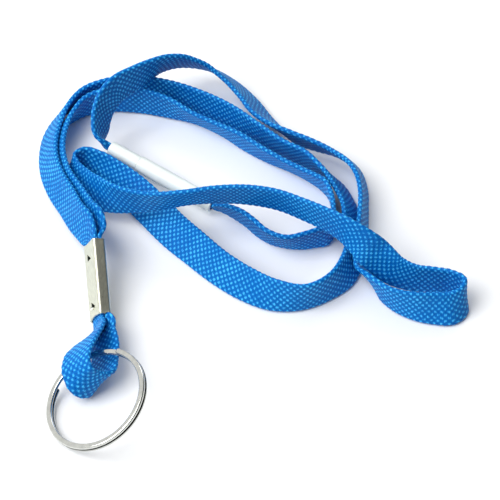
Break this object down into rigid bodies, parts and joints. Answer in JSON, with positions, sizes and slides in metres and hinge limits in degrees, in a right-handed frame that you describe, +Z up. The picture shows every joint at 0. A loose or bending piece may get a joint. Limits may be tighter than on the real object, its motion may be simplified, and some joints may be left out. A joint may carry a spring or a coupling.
{
  "type": "neck lanyard",
  "caption": "Flat braided neck lanyard lying coiled, with a metal crimp, a split ring in a small strap loop and a tubular breakaway connector.",
  "frame": {"origin": "middle of the outline, on the table the lanyard lies on", "axes": "+Z up from the table; -Y towards the split ring, +Y towards the far end of the coils (the longest way); +X towards the loop of strap that lies out to the side"},
  "size_m": [0.1106, 0.1267, 0.0202],
  "materials": {
    "braid": "flat tubular polyester braid, saturated blue, slight sheen",
    "crimp_metal": "nickel-plated folded sheet, faint lengthwise grain",
    "ring_metal": "bright nickel-plated spring wire",
    "clear_plastic": "frosted translucent moulded plastic, glossy skin"
  },
  "bodies": {
    "neck": {"neck_strap_back": "braid", "neck_strap_front": "braid", "neck_strap_short": "braid", "ring_loop": "braid", "crimp_sleeve": "crimp_metal", "crimp_teeth": "crimp_metal", "breakaway_socket": "clear_plastic", "strap_end_in_socket": "braid"},
    "plug": {"breakaway_plug": "clear_plastic", "strap_end_in_plug": "braid", "neck_strap_plug_end": "braid"},
    "ring": {"split_ring": "ring_metal"}
  },
  "joints": [
    {"name": "breakaway_release", "type": "slide", "parent": "neck", "child": "plug", "axis": [-0.8361, 0.543, 0.0785], "range_m": [0, 0.0095], "deforming": ["neck_strap_plug_end"]},
    {"name": "ring_swing", "type": "hinge", "parent": "neck", "child": "ring", "pos_m": [-0.0422, -0.0372, 0.00678], "axis": [-0.8094, -0.343, -0.4766], "range_deg": [0, 60]}
  ]
}
